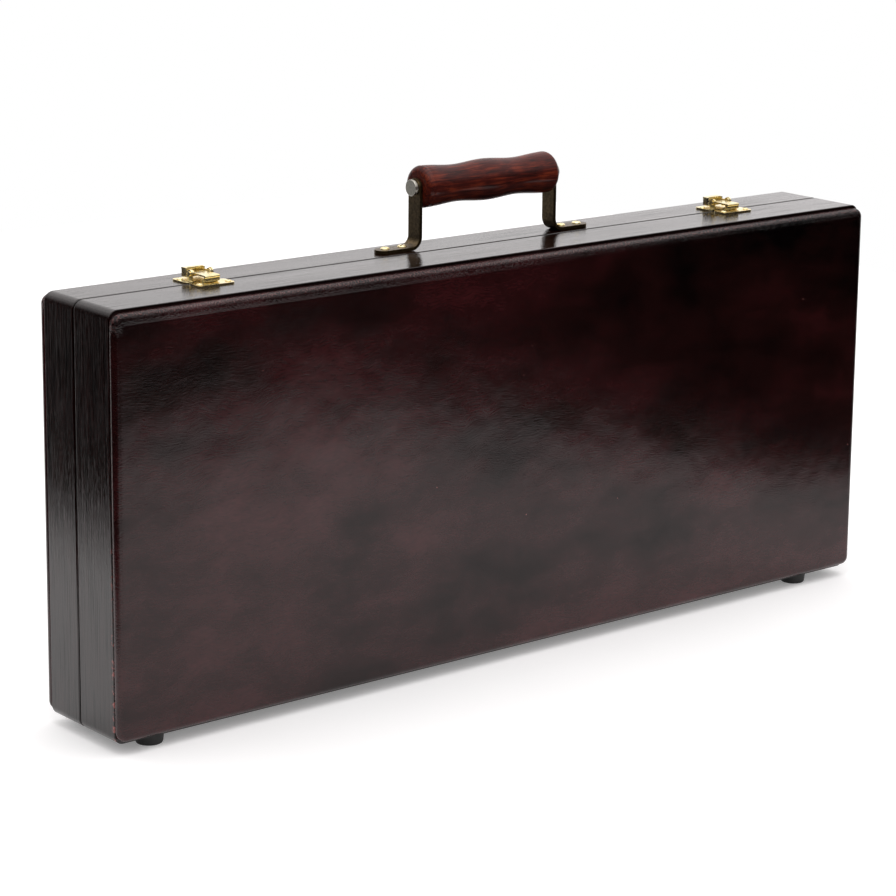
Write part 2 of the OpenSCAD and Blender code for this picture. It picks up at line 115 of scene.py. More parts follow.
def lacquered_wood(name, size):
    """size holds the grain's length and width in metres along X, Y and Z."""
    # Lacquer over dark stained wood: a clear mirror film above fine straight dark pores.
    material, tree = new_material(name)
    place = add(tree, "ShaderNodeTexCoord").outputs["Object"]
    grain_place = add(tree, "ShaderNodeMapping", {"Vector": place, "Scale": [1 / s for s in size]})
    grain = add(tree, "ShaderNodeTexNoise", {"Vector": grain_place.outputs[0], "Scale": 1.0,
                                            "Detail": 4.0, "Roughness": 0.65})
    cloud = add(tree, "ShaderNodeTexNoise", {"Vector": place, "Scale": 1 / (45 * MM), "Detail": 3.0})
    stain = add(tree, "ShaderNodeValToRGB", {"Fac": grain.outputs["Fac"]},
                stops=[(0.32, "#050202"), (0.50, "#180706"), (0.72, "#2d110f")])
    shade = add(tree, "ShaderNodeValToRGB", {"Fac": cloud.outputs["Fac"]},
                stops=[(0.3, "#8c8487"), (0.7, "#ffffff")])
    tinted = add(tree, "ShaderNodeMixRGB", {"Fac": 0.8, "Color1": stain.outputs["Color"],
                                            "Color2": shade.outputs["Color"]}, blend_type="MULTIPLY")
    # Rubbed marks where the lower left front arris and corner have met tables and floors.
    apart = add(tree, "ShaderNodeSeparateXYZ", {"Vector": place})
    arris = add(tree, "ShaderNodeCombineXYZ", {"X": apart.outputs["X"], "Y": apart.outputs["Y"]})
    reach = add(tree, "ShaderNodeVectorMath", {0: arris.outputs[0], 1: (-half_w, case_low.y, 0)},
                operation="DISTANCE")
    near = add(tree, "ShaderNodeMapRange", {"Value": reach.outputs["Value"], "From Min": 0.9 * MM,
                                            "From Max": 2.0 * MM, "To Min": 1.0, "To Max": 0.0})
    low = add(tree, "ShaderNodeMapRange", {"Value": apart.outputs["Z"], "From Min": 20 * MM,
                                           "From Max": 130 * MM, "To Min": 1.0, "To Max": 0.0})
    chips = add(tree, "ShaderNodeTexNoise", {"Vector": place, "Scale": 1 / (3.5 * MM), "Detail": 4.0})
    chip = add(tree, "ShaderNodeMapRange", {"Value": chips.outputs["Fac"], "From Min": 0.54,
                                            "From Max": 0.62})
    worn = add(tree, "ShaderNodeMath", {0: near.outputs[0], 1: low.outputs[0]}, operation="MULTIPLY")
    mark = add(tree, "ShaderNodeMath", {0: worn.outputs[0], 1: chip.outputs[0]}, operation="MULTIPLY")
    colour = add(tree, "ShaderNodeMixRGB", {"Fac": mark.outputs[0], "Color1": tinted.outputs["Color"],
                                            "Color2": linear("#8d4d49")})
    pores = add(tree, "ShaderNodeBump", {"Height": grain.outputs["Fac"], "Strength": 0.7,
                                         "Distance": 0.10 * MM})
    # The film sinks into open pores, so it shines less there.
    film_depth = add(tree, "ShaderNodeMapRange", {"Value": grain.outputs["Fac"], "From Min": 0.34,
                                                  "From Max": 0.48, "To Min": 0.72, "To Max": 1.0})
    ripple = add(tree, "ShaderNodeTexNoise", {"Vector": place, "Scale": 1 / (7 * MM), "Detail": 1.0})
    film = add(tree, "ShaderNodeBump", {"Height": ripple.outputs["Fac"], "Strength": 0.25,
                                        "Distance": 0.06 * MM, "Normal": pores.outputs[0]})
    shader = add(tree, "ShaderNodeBsdfPrincipled", {
        "Base Color": colour.outputs["Color"], "Roughness": 0.6, "Specular IOR Level": 0.0,
        "Normal": pores.outputs[0], "Coat Normal": film.outputs[0], "IOR": 1.5,
        "Coat Weight": film_depth.outputs[0], "Coat Roughness": 0.09, "Coat IOR": 1.5})
    add(tree, "ShaderNodeOutputMaterial", {"Surface": shader.outputs[0]})
    return material


def new_piece(name, vertices, faces):
    """A piece with outward faces and no transform, smooth but for its real edges."""
    mesh = bpy.data.meshes.new(name)
    mesh.from_pydata(vertices, [], faces)
    mesh.shade_smooth()
    mesh.set_sharp_from_angle(angle=math.radians(35))
    piece = bpy.data.objects.new(name, mesh)
    bpy.context.scene.collection.objects.link(piece)
    return piece


def cad_copy(node, name):
    """A piece with a CAD node's shape, its triangles joined into clean faces."""
    shape = bmesh.new()
    shape.from_mesh(frame["nodes"][node].data)
    bmesh.ops.remove_doubles(shape, verts=shape.verts, dist=2e-6)
    bmesh.ops.dissolve_limit(shape, angle_limit=math.radians(0.6), verts=shape.verts,
                             edges=shape.edges)
    shape.verts.index_update()
    piece = new_piece(name, [v.co[:] for v in shape.verts],
                      [[v.index for v in f.verts] for f in shape.faces])
    shape.free()
    return piece


def fit(piece, node, material):
    """The piece takes its finish and its body, and stands for the CAD node."""
    piece.data.materials.clear()
    piece.data.materials.append(material)
    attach(piece, frame["nodes"][node]["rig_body"])
    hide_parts(node)


def ease(piece, width, segments, chosen=None):
    """Rounds the chosen edges, or every sharp one."""
    bevel = piece.modifiers.new("eased", "BEVEL")
    bevel.width = width
    bevel.segments = segments
    bevel.harden_normals = True
    bevel.miter_outer = "MITER_ARC"
    bevel.limit_method = "ANGLE"
    bevel.angle_limit = math.radians(35)
    if chosen:
        bevel.limit_method = "WEIGHT"
        mesh = piece.data
        weight = mesh.attributes.new("bevel_weight_edge", "FLOAT", "EDGE")
        for edge in mesh.edges:
            ends = [mesh.vertices[i].co for i in edge.vertices]
            weight.data[edge.index].value = chosen(*ends)


wood_along = lacquered_wood("lacquered_wood_along", (55 * MM, 0.7 * MM, 0.7 * MM))
wood_upright = lacquered_wood("lacquered_wood_upright", (0.6 * MM, 0.6 * MM, 40 * MM))


def outer_arris(outer_y):
    """Weight of a rail's long outer edge: full at the seam, less by the board."""
    def weight(a, b):
        flat_run = abs(a.y - b.y) < 1e-6
        outside = all(max(abs(p.x) - half_w, abs(p.z - mid_z) - half_h) > -outer_skin for p in (a, b))
        if not (flat_run and outside):
            return 0.0
        if abs(a.y - seam_y) < 1e-5:
            return 1.0
        return front_arris / seam_arris if abs(a.y - outer_y) < 1e-5 else 0.0
    return weight


for half, outer_y in (("lid", case_low.y), ("base", case_high.y)):
    low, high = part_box(half + "_rail_left")
    seam_y = high.y if half == "lid" else low.y
    for place in ("top", "bottom", "left", "right"):
        node = f"{half}_rail_{place}"
        rail = cad_copy(node, node + "_wood")
        ease(rail, seam_arris, 4, outer_arris(outer_y))
        fit(rail, node, wood_along if place in ("top", "bottom") else wood_upright)


# ---- Leather-covered boards
# A plywood board closes each half. Thin aniline leather is pulled over its face,
# gathered in fine crimps round the edge and glued, then polished to a deep gloss.

leather_step = 0.2 * MM
leather_round = 3.2 * MM
board_inset = 1.5 * MM


def ring(inset, spacing, arc_n=8, width=half_w, height=half_h, radius=outline_r):
    """A round-cornered rectangle in X and Z, from the middle of its lower left corner."""
    r = max(radius - inset, 1.2 * MM) if radius > 1.2 * MM else radius
    a, b = width - inset - r, height - inset - r
    counts = [round(2 * (width - radius) / spacing), round(2 * (height - radius) / spacing)]
    corners = [(-a, -b), (a, -b), (a, b), (-a, b)]
    half_arc = arc_n // 2
    points = []
    for side in range(4):
        start, end = corners[side], corners[(side + 1) % 4]
        turn = math.radians(225 + 90 * side)
        for i in range(half_arc):
            angle = turn + i / half_arc * math.pi / 4
            points.append((start[0] + r * math.cos(angle), start[1] + r * math.sin(angle)))
        turn += math.pi / 4
        off = (r * math.cos(turn), r * math.sin(turn))
        for i in range(counts[side % 2]):
            t = i / counts[side % 2]
            points.append((start[0] + (end[0] - start[0]) * t + off[0],
                           start[1] + (end[1] - start[1]) * t + off[1]))
        for i in range(half_arc):
            angle = turn + i / half_arc * math.pi / 4
            points.append((end[0] + r * math.cos(angle), end[1] + r * math.sin(angle)))
    return np.array(points), counts[0] + arc_n, counts[1] + arc_n


def slab(name, profile, spacing, centre=(0, mid_z), **outline):
    """A closed plate. profile runs (inset, y) from the back's rim round to the face's rim;
    a grid fills the face. Its 'rim' attribute holds the way round and the way in."""
    rings = [ring(inset, spacing, **outline) for inset, _ in profile]
    columns, rows = rings[0][1:]
    count = 2 * (columns + rows)
    vertices, rim, faces = [], [], []
    step = np.linalg.norm(np.roll(rings[0][0], -1, axis=0) - rings[0][0], axis=1)
    way_round = np.concatenate([[0], np.cumsum(step)[:-1]])
    side_start = min(range(len(profile)), key=lambda i: profile[i][0])
    way_in = -sum(math.dist(profile[i], profile[i + 1]) for i in range(side_start))
    for i, ((inset, y), (points, _, _)) in enumerate(zip(profile, rings)):
        if i:
            way_in += math.dist(profile[i], profile[i - 1])
        vertices += [(x, y, z) for x, z in points]
        rim += [(u, way_in, 0) for u in way_round]
    for i in range(len(profile) - 1):
        for j in range(count):
            k = (j + 1) % count
            faces.append((i * count + j, i * count + k, (i + 1) * count + k, (i + 1) * count + j))
    faces.append(tuple(range(count)))
    last = (len(profile) - 1) * count
    edge = rings[-1][0]
    around = np.concatenate([edge, edge[:1]])
    bottom, right = around[:columns + 1], around[columns:columns + rows + 1]
    top = around[columns + rows:2 * columns + rows + 1][::-1]
    left = around[2 * columns + rows:][::-1]
    index = np.zeros((columns + 1, rows + 1), int)
    index[:, 0] = last + np.arange(columns + 1)
    index[columns, :] = last + columns + np.arange(rows + 1)
    index[:, rows] = (last + columns + rows + np.arange(columns + 1))[::-1]
    left_run = last + (2 * columns + rows + np.arange(rows + 1)) % count
    index[0, :] = np.where(left_run == last + count, last, left_run)[::-1]
    index[0, 0] = last
    for i in range(1, columns):
        for j in range(1, rows):
            u, v = i / columns, j / rows
            point = ((1 - v) * bottom[i] + v * top[i] + (1 - u) * left[j] + u * right[j]
                     - (1 - u) * (1 - v) * bottom[0] - u * (1 - v) * bottom[-1]
                     - (1 - u) * v * top[0] - u * v * top[-1])
            index[i, j] = len(vertices)
            vertices.append((point[0], profile[-1][1], point[1]))
            far = min(np.abs(edge[:, 0]).max() - abs(point[0]), np.abs(edge[:, 1]).max() - abs(point[1]))
            rim.append((0, way_in + max(far, 0), 0))
    for i in range(columns):
        for j in range(rows):
            faces.append((index[i, j], index[i + 1, j], index[i + 1, j + 1], index[i, j + 1]))
    shift = Vector((centre[0], 0, centre[1]))
    piece = new_piece(name, [Vector(v) + shift for v in vertices], faces)
    shape = bmesh.new()
    shape.from_mesh(piece.data)
    bmesh.ops.recalc_face_normals(shape, faces=shape.faces)
    shape.to_mesh(piece.data)
    shape.free()
    store = piece.data.attributes.new("rim", "FLOAT_VECTOR", "POINT")
    store.data.foreach_set("vector", np.array(rim, np.float32).ravel())
    return piece


def stir(piece, amounts, seed, keep):
    """Moves each vertex along its normal by soft noise of the given (size, height) pairs."""
    shift = Vector((seed * 7.3, seed * 3.1, seed * 5.7))
    mesh = piece.data
    heights = [sum(h * noise.noise(v.co / size + shift) for size, h in amounts) * keep(v.co)
               for v in mesh.vertices]
    places, normals = np.zeros((2, len(mesh.vertices) * 3), np.float32)
    mesh.vertices.foreach_get("co", places)
    mesh.vertices.foreach_get("normal", normals)
    mesh.vertices.foreach_set("co", places + normals * np.repeat(heights, 3))
    mesh.update()


def edge_round(start_inset, start_y, radius, sign, steps):
    """Profile points of a quarter round from the side to the face."""
    return [(start_inset + radius * (1 - math.cos(t)), start_y + sign * radius * math.sin(t))
            for t in (math.pi / 2 * i / steps for i in range(steps + 1))]


# Glazed leather: deep burgundy dye that pools unevenly, so the face is mottled from near
# black to wine red, under a hard gloss broken by fine wavy creases and pores.
leather, tree = new_material("glazed_burgundy_leather")
place = add(tree, "ShaderNodeTexCoord").outputs["Object"]
warp = add(tree, "ShaderNodeTexNoise", {"Vector": place, "Scale": 1 / (22 * MM), "Detail": 2.0})
warped = add(tree, "ShaderNodeMixRGB", {"Fac": 0.012, "Color1": place, "Color2": warp.outputs["Color"]},
             blend_type="ADD")
mottle_place = add(tree, "ShaderNodeMapping", {"Vector": warped.outputs[0], "Scale": (0.55, 1, 1.1)})
mottle = add(tree, "ShaderNodeTexNoise", {"Vector": mottle_place.outputs[0], "Scale": 1 / (48 * MM),
                                          "Detail": 5.0, "Roughness": 0.6})
streak_place = add(tree, "ShaderNodeMapping", {"Vector": warped.outputs[0], "Scale": (1 / (5 * MM),
                   1 / (2 * MM), 1 / (0.6 * MM))})
streak = add(tree, "ShaderNodeTexNoise", {"Vector": streak_place.outputs[0], "Scale": 1.0,
                                          "Detail": 4.0, "Roughness": 0.6, "Distortion": 0.35})
pore = add(tree, "ShaderNodeTexNoise", {"Vector": place, "Scale": 1 / (0.9 * MM), "Detail": 2.0})
# Darker towards the upper end on the +X side of the face.
apart = add(tree, "ShaderNodeSeparateXYZ", {"Vector": place})
upper = add(tree, "ShaderNodeMapRange", {"Value": apart.outputs["Z"], "From Min": 60 * MM,
                                         "From Max": 220 * MM})
end = add(tree, "ShaderNodeMapRange", {"Value": apart.outputs["X"], "From Min": -60 * MM,
                                       "From Max": 200 * MM, "To Min": 0.06, "To Max": 0.27})
upper_x_darkening = add(tree, "ShaderNodeMath", {0: upper.outputs[0], 1: end.outputs[0]}, operation="MULTIPLY")
pooled = add(tree, "ShaderNodeMath", {0: mottle.outputs["Fac"], 1: upper_x_darkening.outputs[0]},
             operation="SUBTRACT")
dye = add(tree, "ShaderNodeValToRGB", {"Fac": pooled.outputs[0]},
          stops=[(0.18, "#060303"), (0.38, "#210c0c"), (0.54, "#371416"), (0.74, "#4d1f22")])
vein = add(tree, "ShaderNodeValToRGB", {"Fac": streak.outputs["Fac"]},
           stops=[(0.32, "#7a7070"), (0.50, "#c2baba"), (0.70, "#ffffff")])
dyed = add(tree, "ShaderNodeMixRGB", {"Fac": 0.6, "Color1": dye.outputs[0], "Color2": vein.outputs[0]},
           blend_type="MULTIPLY")
rim = add(tree, "ShaderNodeAttribute", attribute_name="rim")
rim_apart = add(tree, "ShaderNodeSeparateXYZ", {"Vector": rim.outputs["Vector"]})
band = add(tree, "ShaderNodeMapRange", {"Value": rim_apart.outputs["Y"], "From Min": 4.0 * MM,
                                        "From Max": 8.5 * MM, "To Min": 1.0, "To Max": 0.0})
top_edge = add(tree, "ShaderNodeMapRange", {"Value": apart.outputs["Z"], "From Min": 205 * MM,
                                            "From Max": 210 * MM, "To Min": 0.12, "To Max": 1.0})
crimp_place = add(tree, "ShaderNodeMapping", {"Vector": rim.outputs["Vector"],
                                              "Scale": (1 / (0.7 * MM), 1 / (1.4 * MM), 1)})
crimp = add(tree, "ShaderNodeTexNoise", {"Vector": crimp_place.outputs[0], "Scale": 1.0,
                                         "Detail": 2.0, "Distortion": 0.4})
gather = add(tree, "ShaderNodeMath", {0: crimp.outputs["Fac"], 1: band.outputs[0]}, operation="MULTIPLY")
pull = add(tree, "ShaderNodeMath", {0: gather.outputs[0], 1: top_edge.outputs[0]}, operation="MULTIPLY")
# Painted highlight: the raised crimps are lightened to pinkish grey, mostly along the top edge, in place of
# glints of the light above.
crimp_glint = add(tree, "ShaderNodeMapRange", {"Value": gather.outputs[0], "From Min": 0.48,
                                          "From Max": 0.64, "To Max": 0.6})
top_crimp_glint = add(tree, "ShaderNodeMath", {0: crimp_glint.outputs[0], 1: top_edge.outputs[0]},
              operation="MULTIPLY")
coloured = add(tree, "ShaderNodeMixRGB", {"Fac": top_crimp_glint.outputs[0], "Color1": dyed.outputs[0],
                                          "Color2": linear("#6e4645")})
fleck = add(tree, "ShaderNodeTexVoronoi", {"Vector": place, "Scale": 1 / (17 * MM)})
speck = add(tree, "ShaderNodeMapRange", {"Value": fleck.outputs["Distance"], "From Min": 0.012,
                                         "From Max": 0.022, "To Min": 0.8, "To Max": 0.0})
finished = add(tree, "ShaderNodeMixRGB", {"Fac": speck.outputs[0], "Color1": coloured.outputs[0],
                                          "Color2": linear("#a8726e")})
crease = add(tree, "ShaderNodeBump", {"Height": streak.outputs["Fac"], "Strength": 0.5,
                                      "Distance": 0.06 * MM})
pitted = add(tree, "ShaderNodeBump", {"Height": pore.outputs["Fac"], "Strength": 0.25,
                                      "Distance": 0.05 * MM, "Normal": crease.outputs[0]})
gathered = add(tree, "ShaderNodeBump", {"Height": pull.outputs[0], "Strength": 0.9,
                                        "Distance": 0.8 * MM, "Normal": pitted.outputs[0]})
glaze = add(tree, "ShaderNodeMapRange", {"Value": mottle.outputs["Fac"], "From Min": 0.3,
                                         "From Max": 0.7, "To Min": 0.62, "To Max": 0.86})
shader = add(tree, "ShaderNodeBsdfPrincipled", {
    "Base Color": finished.outputs[0], "Roughness": 0.6, "Specular IOR Level": 0.0, "IOR": 1.5,
    "Normal": gathered.outputs[0], "Coat Weight": glaze.outputs[0], "Coat Roughness": 0.17,
    "Coat IOR": 1.5, "Coat Normal": gathered.outputs[0]})
add(tree, "ShaderNodeOutputMaterial", {"Surface": shader.outputs[0]})

# Birch plywood: pale veneer, seen only as a hair line beside the linings.
plywood, tree = new_material("birch_plywood")
place = add(tree, "ShaderNodeTexCoord").outputs["Object"]
veneer_place = add(tree, "ShaderNodeMapping", {"Vector": place, "Scale": (1 / (70 * MM), 1 / (1.3 * MM),
                                                                          1 / (2 * MM))})
veneer = add(tree, "ShaderNodeTexNoise", {"Vector": veneer_place.outputs[0], "Scale": 1.0, "Detail": 4.0})
pale = add(tree, "ShaderNodeValToRGB", {"Fac": veneer.outputs["Fac"]},
           stops=[(0.3, "#8d6b46"), (0.7, "#b8946a")])
shader = add(tree, "ShaderNodeBsdfPrincipled", {"Base Color": pale.outputs[0], "Roughness": 0.7})
add(tree, "ShaderNodeOutputMaterial", {"Surface": shader.outputs[0]})

for half, sign in (("lid", -1), ("base", 1)):
    rail_end = case_high.y
    face = max(abs(corner.y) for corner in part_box(half + "_leather"))
    skin = 1.0 * MM
    inner = face - skin
    turned_in = [(4.4 * MM, inner), (3.0 * MM, inner - 0.1 * MM), (1.9 * MM, inner - 0.9 * MM),
                 (1.45 * MM, inner - 2.2 * MM), (1.4 * MM, rail_end + 0.02 * MM)]
    lip = [(0.9 * MM, rail_end + 0.02 * MM), (0.45 * MM, rail_end + 0.12 * MM)]
    outside = edge_round(leather_step, face - leather_round, leather_round, 1, 8)
    flat = [(leather_step + leather_round + d * MM, face) for d in (1.2, 2.6, 4.2, 6.0)]
    profile = [(inset, sign * y) for inset, y in turned_in + lip + [(leather_step, rail_end + 0.5 * MM)]
               + outside + flat]
    cover = slab(half + "_leather_cover", profile, 1.7 * MM)
    stir(cover, ((26 * MM, 0.14 * MM), (9 * MM, 0.05 * MM), (4 * MM, 0.025 * MM)), 1 + sign,
         lambda co: 1.0 if abs(co.y) > rail_end + 1.2 * MM and abs(co.y) > inner + 0.3 * MM else 0.0)
    fit(cover, half + "_leather", leather)
    board_profile = [(board_inset, sign * rail_end),
                     (board_inset + 0.05 * MM, sign * (inner - 2.2 * MM)),
                     (board_inset + 0.6 * MM, sign * (inner - 0.9 * MM)),
                     (board_inset + 1.7 * MM, sign * (inner - 0.15 * MM)),
                     (board_inset + 3.2 * MM, sign * (inner - 0.1 * MM))]
    board = slab(half + "_board_ply", board_profile, 12 * MM)
    fit(board, half + "_board", plywood)


# ---- Linings, chip racks and card tray
# Wool felt is glued over the inside of both boards. The racks and the tray are
# moulded trays flocked with green velvet, and they press in between the rails.


def cloth_material(name, dark, light, fibre, sheen):
    """Napped cloth: soft colour variation, a fine nap and a sheen at grazing angles."""
    material, tree = new_material(name)
    place = add(tree, "ShaderNodeTexCoord").outputs["Object"]
    nap = add(tree, "ShaderNodeTexNoise", {"Vector": place, "Scale": 1 / fibre, "Detail": 3.0})
    brushed = add(tree, "ShaderNodeTexNoise", {"Vector": place, "Scale": 1 / (18 * MM), "Detail": 3.0})
    blend = add(tree, "ShaderNodeMath", {0: nap.outputs["Fac"], 1: 0.55, 2: brushed.outputs["Fac"]},
                operation="MULTIPLY_ADD")
    colour = add(tree, "ShaderNodeValToRGB", {"Fac": blend.outputs[0]},
                 stops=[(0.55, dark), (1.0, light)])
    bump = add(tree, "ShaderNodeBump", {"Height": nap.outputs["Fac"], "Strength": 0.6,
                                        "Distance": 0.3 * MM})
    shader = add(tree, "ShaderNodeBsdfPrincipled", {
        "Base Color": colour.outputs[0], "Roughness": 0.95, "Normal": bump.outputs[0],
        "Sheen Weight": sheen, "Sheen Roughness": 0.4, "Sheen Tint": linear("#7fae93"),
        "Specular IOR Level": 0.2})
    add(tree, "ShaderNodeOutputMaterial", {"Surface": shader.outputs[0]})
    return material


# Wool felt: matted fibres, no weave, no shine.
felt = cloth_material("wool_felt", "#133323", "#1a3f2d", 0.8 * MM, 0.25)
# Flock velvet: short upright pile that lights up along curves.
velvet = cloth_material("flock_velvet", "#123526", "#1b4632", 0.5 * MM, 0.7)

for half, sign in (("base", 1), ("lid", -1)):
    node = half + "_lining"
    low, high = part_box(node)
    near, far = (low.y, high.y) if sign > 0 else (high.y, low.y)
    size = {"width": high.x, "height": high.z - mid_z, "radius": 1.2 * MM, "arc_n": 4}
    profile = [(0.05 * MM, far), (0.0, far - sign * 0.1 * MM), (0.0, near + sign * 0.4 * MM),
               (0.12 * MM, near + sign * 0.1 * MM), (0.45 * MM, near)]
    lining = slab(half + "_felt", profile, 5 * MM, **size)
    fit(lining, node, felt)

for node in ("chip_rack_left", "chip_rack_right", "card_tray"):
    tray = cad_copy(node, node + "_velvet")
    ease(tray, 0.2 * MM, 2)
    fit(tray, node, velvet)


# ---- Pads in the lid
# Foam pads in velvet covers press on the rows of chips when the case is shut.
# Each is sewn shut round its edge, so it swells between its corners.


def sewn_pad(node, name):
    """A thin round-edged pad that is blown up as cloth, within the room its CAD solid has."""
    low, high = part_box(node)
    centre = (low + high) / 2
    width, height = (high.x - low.x) / 2, (high.z - low.z) / 2
    thin = 3.0 * MM
    cell = 3 * MM
    swell_steps = 20
    profile = [(4 * MM, low.y + 0.2 * MM), (1.2 * MM, low.y + 0.8 * MM), (0.3 * MM, low.y + 2.4 * MM),
               (0.3 * MM, high.y - thin - 2.4 * MM), (1.2 * MM, high.y - thin - 0.8 * MM),
               (4 * MM, high.y - thin)]
    pad = slab(name, profile, cell, centre=(centre.x, centre.z), width=width, height=height,
               radius=6 * MM)
    remesh = pad.modifiers.new("even", "REMESH")
    remesh.mode = "VOXEL"
    remesh.voxel_size = cell
    start = bpy.data.meshes.new_from_object(pad.evaluated_get(bpy.context.evaluated_depsgraph_get()))
    pad.modifiers.clear()
    pad.data = start
    rest = np.array([v.co for v in start.vertices])
    cloth = pad.modifiers.new("swell", "CLOTH")
    cloth.settings.use_pressure = True
    cloth.settings.uniform_pressure_force = 4
    cloth.settings.effector_weights.gravity = 0
    cloth.settings.quality = 6
    cloth.point_cache.frame_start = 1
    cloth.point_cache.frame_end = swell_steps
    scene = bpy.context.scene
    for step in range(1, swell_steps + 1):
        scene.frame_set(step)
    swollen = bpy.data.meshes.new_from_object(
        pad.evaluated_get(bpy.context.evaluated_depsgraph_get()))
    moved = np.array([v.co for v in swollen.vertices])
    pad.modifiers.clear()
    scene.frame_set(1)
    shift = moved - rest
    settled = rest + shift * thin / max(np.linalg.norm(shift, axis=1).max(), thin)
    settled[:, 1] = np.clip(settled[:, 1], low.y + 0.05 * MM, high.y)
    settled[:, 0] = np.clip(settled[:, 0], low.x, high.x)
    settled[:, 2] = np.clip(settled[:, 2], low.z, high.z)
    start.vertices.foreach_set("co", settled.astype(np.float32).ravel())
    start.shade_smooth()
    soft = pad.modifiers.new("soft", "SUBSURF")
    soft.levels = 1
    soft.render_levels = 1
    return pad


for side in ("left", "right"):
    pad = sewn_pad("lid_pad_" + side, f"lid_pad_{side}_velvet")
    fit(pad, "lid_pad_" + side, velvet)


# ---- Screws, rivets and feet that repeat
# Slotted brass screws hold the hinges, the handle and the latches, and steel ones
# hold the rubber feet. Each is driven by hand, so every slot stops at its own angle.

latch_screw_d, latch_head_d, latch_head_h = 1.8 * MM, 3.2 * MM, 0.6 * MM
strap_screw_d, strap_head_d, strap_head_h = 3.0 * MM, 4.9 * MM, 1.0 * MM
hinge_screw_d, hinge_head_d, hinge_head_h = 1.8 * MM, 3.4 * MM, 0.85 * MM
foot_screw_d, foot_head_d, foot_head_h = 2.8 * MM, 5.6 * MM, 1.6 * MM


def metal(name, dark, light, rough_low, rough_high, grain, bump):
    """Bare metal: its tone and gloss drift with handling and fine polishing marks."""
    material, tree = new_material(name)
    place = add(tree, "ShaderNodeTexCoord").outputs["Object"]
    drift = add(tree, "ShaderNodeTexNoise", {"Vector": place, "Scale": 1 / grain, "Detail": 4.0})
    fine = add(tree, "ShaderNodeTexNoise", {"Vector": place, "Scale": 1 / (0.35 * MM), "Detail": 2.0})
    colour = add(tree, "ShaderNodeValToRGB", {"Fac": drift.outputs["Fac"]},
                 stops=[(0.35, dark), (0.65, light)])
    rough = add(tree, "ShaderNodeMapRange", {"Value": drift.outputs["Fac"], "From Min": 0.35,
                                             "From Max": 0.65, "To Min": rough_high,
                                             "To Max": rough_low})
    marks = add(tree, "ShaderNodeBump", {"Height": fine.outputs["Fac"], "Strength": bump,
                                         "Distance": 0.03 * MM})
    shader = add(tree, "ShaderNodeBsdfPrincipled", {
        "Base Color": colour.outputs[0], "Metallic": 1.0, "Roughness": rough.outputs[0],
        "Normal": marks.outputs[0]})
    add(tree, "ShaderNodeOutputMaterial", {"Surface": shader.outputs[0]})
    return material


# Brass plate, polished: pale yellow mirror with slightly duller hollows.
brass = metal("polished_brass", "#f2dc9e", "#fff3c8", 0.18, 0.30, 4 * MM, 0.2)
# Zinc-plated steel: grey and a little cloudy.
steel = metal("zinc_plated_steel", "#77787a", "#a4a5a6", 0.25, 0.40, 3 * MM, 0.3)


def turned(name, profile, segments=28):
    """A solid of revolution about Z from (radius, height) points, closed at both poles."""
    vertices = [(0, 0, profile[0][1])]
    faces = []
    for radius, height in profile:
        for k in range(segments):
            angle = 2 * math.pi * k / segments
            vertices.append((radius * math.cos(angle), radius * math.sin(angle), height))
    vertices.append((0, 0, profile[-1][1]))
    for k in range(segments):
        n = (k + 1) % segments
        faces.append((0, 1 + n, 1 + k))
        for i in range(len(profile) - 1):
            a, b = 1 + i * segments, 1 + (i + 1) * segments
            faces.append((a + k, a + n, b + n, b + k))
        end = 1 + (len(profile) - 1) * segments
        faces.append((end + k, end + n, len(vertices) - 1))
    return new_piece(name, vertices, faces)


def cut(piece, low, high):
    """Cuts a box out of a piece."""
    corners = [(x, y, z) for x in (low[0], high[0]) for y in (low[1], high[1])
               for z in (low[2], high[2])]
    sides = [(0, 1, 3, 2), (4, 6, 7, 5), (0, 4, 5, 1), (2, 3, 7, 6), (0, 2, 6, 4), (1, 5, 7, 3)]
    knife = new_piece("knife", corners, sides)
    saw = piece.modifiers.new("slot", "BOOLEAN")
    saw.operation = "DIFFERENCE"
    saw.object = knife
    mesh = bpy.data.meshes.new_from_object(
        piece.evaluated_get(bpy.context.evaluated_depsgraph_get()))
    piece.modifiers.clear()
    piece.data = mesh
    bpy.data.objects.remove(knife)


def slotted_screw(name, shank_d, head_d, head_h, length, sunk):
    """A wood screw standing on z = 0 with its shank down, or sunk with its head below it."""
    r, s = head_d / 2, shank_d / 2
    if sunk:
        profile = [(s * 0.3, -length), (s, -length * 0.8), (s, 0), (r * 0.94, head_h * 0.8),
                   (r, head_h * 0.95), (r * 0.93, head_h)]
    else:
        profile = [(s * 0.3, -length), (s, -length * 0.8), (s, 0), (r, 0), (r * 0.98, head_h * 0.35),
                   (r * 0.86, head_h * 0.72), (r * 0.62, head_h * 0.93), (r * 0.3, head_h)]
    screw = turned(name, profile)
    slot = 0.09 * head_d
    cut(screw, (-head_d, -slot, head_h * 0.55), (head_d, slot, head_h * 2))
    return screw


